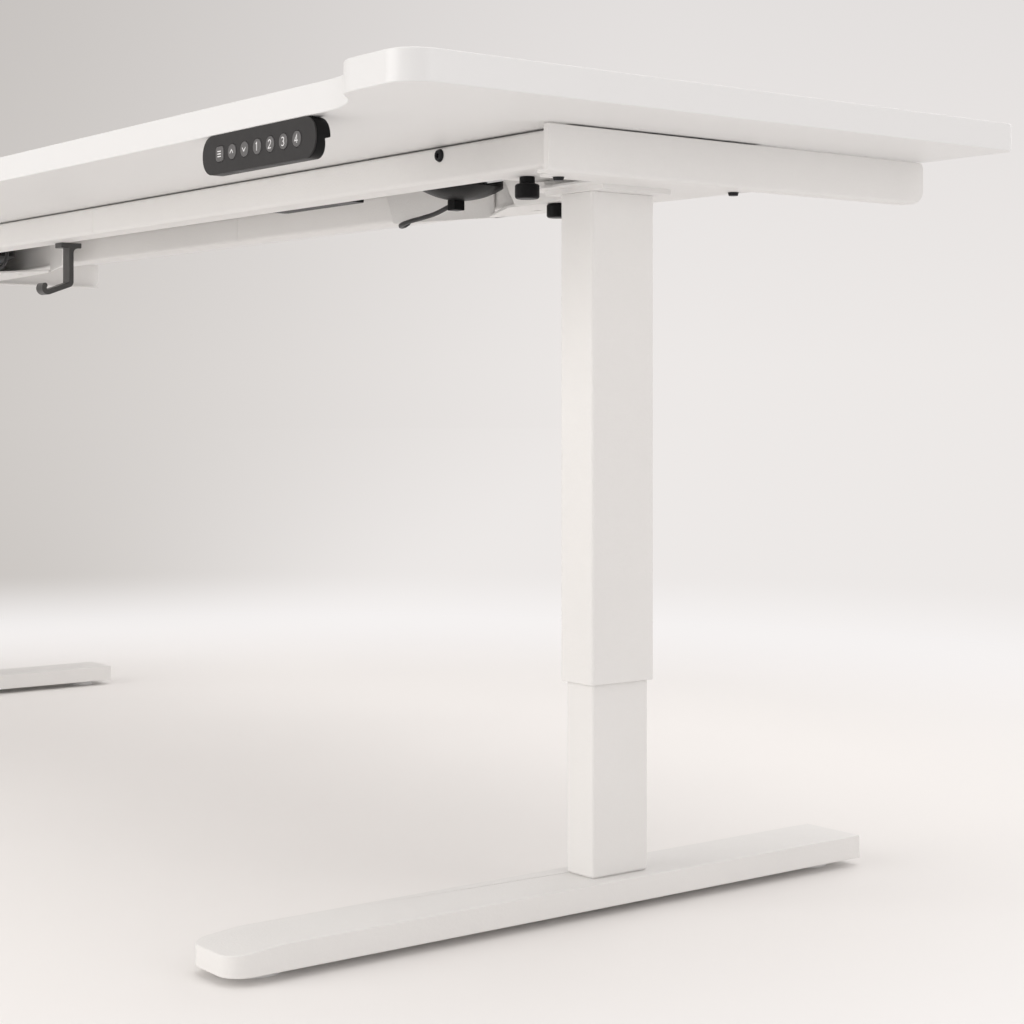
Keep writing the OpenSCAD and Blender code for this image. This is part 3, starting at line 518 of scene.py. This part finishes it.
def key_outline(half, corner, inset):
    """A rounded square's outline, which is a circle where the corner is the half width."""
    radius = max(corner - inset, 0.2)
    reach = half - inset - radius
    points = []
    for quarter in range(4):
        for step in range(12):
            turn = math.radians(90 * quarter + 90 * step / 11)
            side = math.radians(90 * quarter + 45)
            away_x = math.copysign(reach, math.cos(side))
            away_z = math.copysign(reach, math.sin(side))
            points.append((away_x + radius * math.cos(turn), away_z + radius * math.sin(turn)))
    if reach < 1e-6:
        points = [point for k, point in enumerate(points) if k % 12 != 11]
    return points


def stroke_pairs(points, width):
    """Left and right edges of a ribbon through points, mitred where it turns."""
    pairs = []
    for k, point in enumerate(points):
        before = Vector(points[max(k - 1, 0)])
        here = Vector(point)
        after = Vector(points[min(k + 1, len(points) - 1)])
        leave = (after - here).normalized() if k < len(points) - 1 else (here - before).normalized()
        arrive = (here - before).normalized() if k else leave
        across = Vector((-(arrive + leave).y, (arrive + leave).x)).normalized()
        grow = min(1 / max(across.dot(Vector((-leave.y, leave.x))), 0.01), MITRE_LIMIT)
        offset = across * grow * width / 2
        pairs.append((here + offset, here - offset))
    return pairs


def make_keys():
    for number, strokes in SIGNS.items():
        node = f"button_{number}"
        lo, hi = (Vector(corner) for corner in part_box(node))
        middle = (lo + hi) / 2
        half = (hi.x - lo.x) / 2 / MM
        corner = 4.0 if number == 1 else half

        def spot(x, z, out):
            return Vector((middle.x + x * MM, hi.y - out * MM, middle.z + z * MM))

        bm = bmesh.new()
        loops = []
        for inset, out in KEY_PROFILE:
            loops.append([spot(x, z, out) for x, z in key_outline(half, corner, inset)])
        skin(bm, loops)
        for points in strokes:
            ribbon = []
            points = [(SIGN_SCALE * x, SIGN_SCALE * z) for x, z in points]
            for left, right in stroke_pairs(points, SIGN_WIDTH):
                back, front = SIGN_BACK, SIGN_FRONT
                corners = ((left, back), (left, front), (right, front), (right, back))
                ribbon.append([spot(*place, out) for place, out in corners])
            skin(bm, ribbon, material=1)
        finishes = [MATERIALS["button_rubber"], PRINT]
        make_piece(f"key_{number}", bm, node, "button_rubber", [node], finishes)


# ---- Motor cables: round leads on one smooth line ----

CABLE_R = 2.6
CABLE_STEP = 8.0
CABLE_SIDES = 16
# Steps from a plug's middle, in mm: behind the brace and round its end to the box's back
RIGHT_STEPS = [
    (-7, 0, 0),
    (-17, 1, -1),
    (-36, 6, -3),
    (-60, 12, -5),
    (-90, 19, -6),
    (-130, 28, -7),
    (-160, 37, -8.5),
    (-173, 48, -8.5),
    (-178, 60, -4),
    (-178, 67, 8),
    (-181, 69, 22),
    (-190, 63, 31),
    (-202, 47, 33),
    (-206, 25, 32),
    (-198, 3, 30),
    (-180, -14, 28),
    (-162, -24, 26),
]
# The left lead clears its motor and rises to the underside
LEFT_STEPS = [(7, 0, 0), (20, 1, -2), (45, 0, -3), (70, -2, 2), (86, -5, 13), (98, -9, 25)]
LEFT_RISE = [(112, -13, -3.5), (132, -17, -0.6), (165, -23, 0)]
# Its run under the top: share of the way to the control box, and Y from the plug
LEFT_RUN = [(0.26, -36), (0.385, -50), (0.515, -56), (0.655, -58), (0.825, -60)]
# Its end, from the run's end: X, Y from the plug, and Z from the run's height
LEFT_END = [(0, -60, -1), (18, -61, -6), (34, -61, -9)]
BOX_JACK = 52
BOX_LUG = 9


def smooth_line(points, step):
    """Points on a centripetal curve through the given ones, in mm."""
    guide = [2 * points[0] - points[1], *points, 2 * points[-1] - points[-2]]
    line = []
    for k in range(1, len(guide) - 2):
        p0, p1, p2, p3 = guide[k - 1 : k + 3]
        t1 = (p1 - p0).length ** 0.5
        t2 = t1 + (p2 - p1).length ** 0.5
        t3 = t2 + (p3 - p2).length ** 0.5
        pieces = max(2, round((p2 - p1).length / step))
        for n in range(pieces):
            t = t1 + (t2 - t1) * n / pieces
            a1 = p0.lerp(p1, t / t1)
            a2 = p1.lerp(p2, (t - t1) / (t2 - t1))
            a3 = p2.lerp(p3, (t - t2) / (t3 - t2))
            b1 = a1.lerp(a2, t / t2)
            b2 = a2.lerp(a3, (t - t1) / (t3 - t1))
            line.append(b1.lerp(b2, (t - t1) / (t2 - t1)))
    return [*line, points[-1]]


def tube_loops(line, radius, first, last):
    """Rings round a line in mm, its ends square to two directions; no ring twists."""
    loops = []
    for k, point in enumerate(line):
        along = line[min(k + 1, len(line) - 1)] - line[max(k - 1, 0)]
        along = first if k == 0 else last if k == len(line) - 1 else along.normalized()
        across = along.cross(Vector((0, 0, 1))).normalized()
        up = across.cross(along)
        ring = []
        for n in range(CABLE_SIDES):
            turn = math.tau * n / CABLE_SIDES
            ring.append((point + radius * (math.cos(turn) * across + math.sin(turn) * up)) * MM)
        loops.append(ring)
    return loops


def make_cables():
    right_lo, right_hi = (Vector(corner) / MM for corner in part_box("motor_plug_right"))
    left_lo, left_hi = (Vector(corner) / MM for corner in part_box("motor_plug_left"))
    box_lo, box_hi = (Vector(corner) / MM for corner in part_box("control_box"))
    right = (right_lo + right_hi) / 2
    left = (left_lo + left_hi) / 2
    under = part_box("desktop")[0][2] / MM
    box_mid = (box_lo + box_hi) / 2
    right_line = [right + Vector(step) for step in RIGHT_STEPS]
    right_line.append(Vector((box_mid.x + BOX_JACK, box_hi.y, right.z + 26)))
    run = under - CABLE_R - 0.4
    end = box_lo.x + BOX_LUG - LEFT_END[-1][0]
    left_line = [left + Vector(step) for step in LEFT_STEPS]
    left_line += [Vector((left.x + x, left.y + y, run + z)) for x, y, z in LEFT_RISE]
    way = end - left.x
    left_line += [Vector((left.x + share * way, left.y + y, run)) for share, y in LEFT_RUN]
    left_line += [Vector((end + x, left.y + y, run + z)) for x, y, z in LEFT_END]
    ends = {
        "right": (right_line, Vector((-1, 0, 0)), Vector((0, -1, 0))),
        "left": (left_line, Vector((1, 0, 0)), Vector((1, 0, 0))),
    }
    for side, (points, first, last) in ends.items():
        line = [Vector((p.x, p.y, min(p.z, run))) for p in smooth_line(points, CABLE_STEP)]
        bm = bmesh.new()
        skin(bm, tube_loops(line, CABLE_R, first, last))
        node = f"motor_cable_{side}"
        lead = make_piece(f"lead_{side}", bm, "upper", "cable_jacket", [node])


# ---- Making ----

make_camera()
make_cables()
make_world()
make_floor()
make_lights()
finish_cad_parts()
make_board()
make_keys()

bpy.context.scene.view_settings.view_transform = "Standard"
